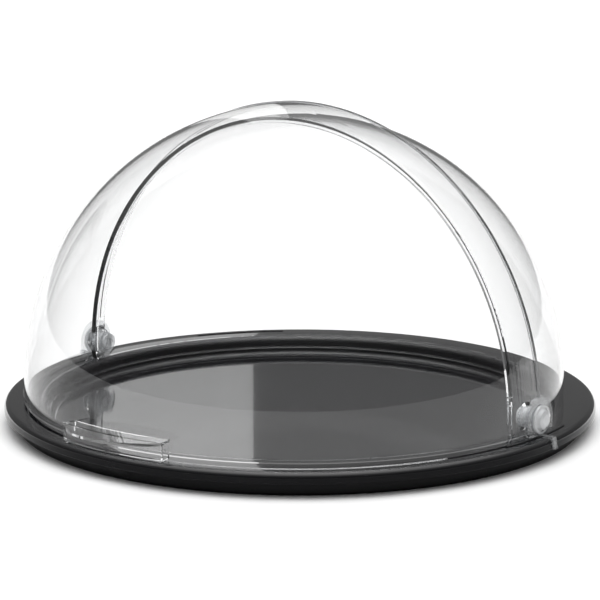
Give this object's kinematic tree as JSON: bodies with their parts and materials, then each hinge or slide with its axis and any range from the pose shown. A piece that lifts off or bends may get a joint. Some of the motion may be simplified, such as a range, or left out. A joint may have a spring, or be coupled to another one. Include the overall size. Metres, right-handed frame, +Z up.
{
  "type": "roll-top buffet display",
  "caption": "Round roll-top food display: a clear two-part domed cover on a shallow black tray in a base dish; the front half rolls up and back over the fixed rear half.",
  "frame": {"origin": "middle of the base's flat underside", "axes": "+Z up; +X along the roll-top's pivot line; -Y towards the lifting handle"},
  "size_m": [0.424, 0.43, 0.2254],
  "materials": {
    "black_plastic": "polished black moulded plastic",
    "clear_plastic": "clear polished plastic",
    "clear_fittings": "clear moulded plastic"
  },
  "bodies": {
    "tray": {"tray": "black_plastic", "base_dish": "black_plastic"},
    "rear_half": {"rear_dome": "clear_plastic", "right_pivot_bracket": "clear_plastic", "right_pivot_pin": "clear_fittings", "right_pivot_knob": "clear_fittings", "right_thrust_washer": "clear_fittings", "right_dome_spacer": "clear_fittings", "left_pivot_bracket": "clear_plastic", "left_pivot_pin": "clear_fittings", "left_pivot_knob": "clear_fittings", "left_thrust_washer": "clear_fittings", "left_dome_spacer": "clear_fittings"},
    "front_half": {"front_dome": "clear_plastic", "front_handle": "clear_plastic"}
  },
  "joints": [
    {"name": "cover_lift", "type": "slide", "parent": "tray", "child": "rear_half", "axis": [0, 0, 1], "range_m": [0, 0.25]},
    {"name": "roll_top", "type": "hinge", "parent": "rear_half", "child": "front_half", "pos_m": [0, 0, 0.0286], "axis": [-1, 0, 0], "range_deg": [0, 90]}
  ]
}
